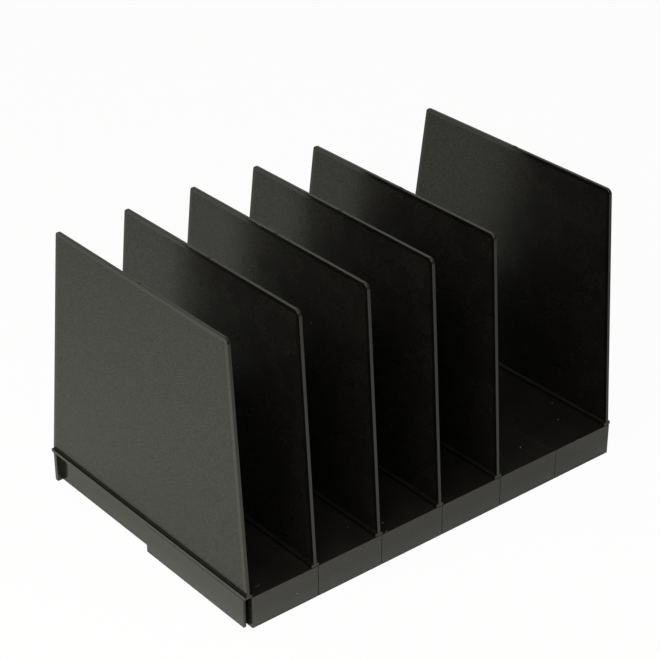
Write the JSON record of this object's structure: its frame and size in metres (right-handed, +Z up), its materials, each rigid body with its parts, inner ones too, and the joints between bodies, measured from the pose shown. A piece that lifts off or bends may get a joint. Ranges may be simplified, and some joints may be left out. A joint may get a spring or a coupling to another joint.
{
  "type": "desktop file sorter",
  "caption": "Modular upright desktop sorter: low black plastic base trays hooked side by side, with tall trapezoid dividers standing on the joints to hold folders and mail on edge.",
  "frame": {"origin": "on the desk, at the middle of the footprint", "axes": "+X along the row of base modules to the viewer's right, +Y from the front fascia to the rear, +Z up"},
  "size_m": [0.3104, 0.211, 0.194],
  "materials": {
    "base_plastic": "charcoal-black moulded plastic, smooth satin fascias",
    "divider_plastic": "charcoal-black moulded plastic with a fine stipple inside a smooth border"
  },
  "bodies": {
    "base_module_1": {"base_module_1": "base_plastic"},
    "base_module_2": {"base_module_2": "base_plastic"},
    "base_module_3": {"base_module_3": "base_plastic"},
    "base_module_4": {"base_module_4": "base_plastic"},
    "base_module_5": {"base_module_5": "base_plastic"},
    "base_module_6": {"base_module_6": "base_plastic"},
    "left_end_divider": {"left_end_divider": "divider_plastic"},
    "divider_2": {"divider_2": "divider_plastic"},
    "divider_3": {"divider_3": "divider_plastic"},
    "divider_4": {"divider_4": "divider_plastic"},
    "divider_5": {"divider_5": "divider_plastic"},
    "right_end_divider": {"right_end_divider": "divider_plastic"}
  },
  "joints": [
    {"name": "base_module_2_unhook", "type": "slide", "parent": "base_module_1", "child": "base_module_2", "axis": [0, 0, 1], "range_m": [0, 0.026]},
    {"name": "base_module_3_unhook", "type": "slide", "parent": "base_module_2", "child": "base_module_3", "axis": [0, 0, 1], "range_m": [0, 0.026]},
    {"name": "base_module_4_unhook", "type": "slide", "parent": "base_module_3", "child": "base_module_4", "axis": [0, 0, 1], "range_m": [0, 0.026]},
    {"name": "base_module_5_unhook", "type": "slide", "parent": "base_module_4", "child": "base_module_5", "axis": [0, 0, 1], "range_m": [0, 0.026]},
    {"name": "base_module_6_unhook", "type": "slide", "parent": "base_module_5", "child": "base_module_6", "axis": [0, 0, 1], "range_m": [0, 0.026]},
    {"name": "left_end_divider_lift", "type": "slide", "parent": "base_module_1", "child": "left_end_divider", "axis": [0, 0, 1], "range_m": [0, 0.03]},
    {"name": "divider_2_lift", "type": "slide", "parent": "base_module_2", "child": "divider_2", "axis": [0, 0, 1], "range_m": [0, 0.03]},
    {"name": "divider_3_lift", "type": "slide", "parent": "base_module_3", "child": "divider_3", "axis": [0, 0, 1], "range_m": [0, 0.03]},
    {"name": "divider_4_lift", "type": "slide", "parent": "base_module_4", "child": "divider_4", "axis": [0, 0, 1], "range_m": [0, 0.03]},
    {"name": "divider_5_lift", "type": "slide", "parent": "base_module_5", "child": "divider_5", "axis": [0, 0, 1], "range_m": [0, 0.03]},
    {"name": "right_end_divider_lift", "type": "slide", "parent": "base_module_6", "child": "right_end_divider", "axis": [0, 0, 1], "range_m": [0, 0.03]}
  ]
}
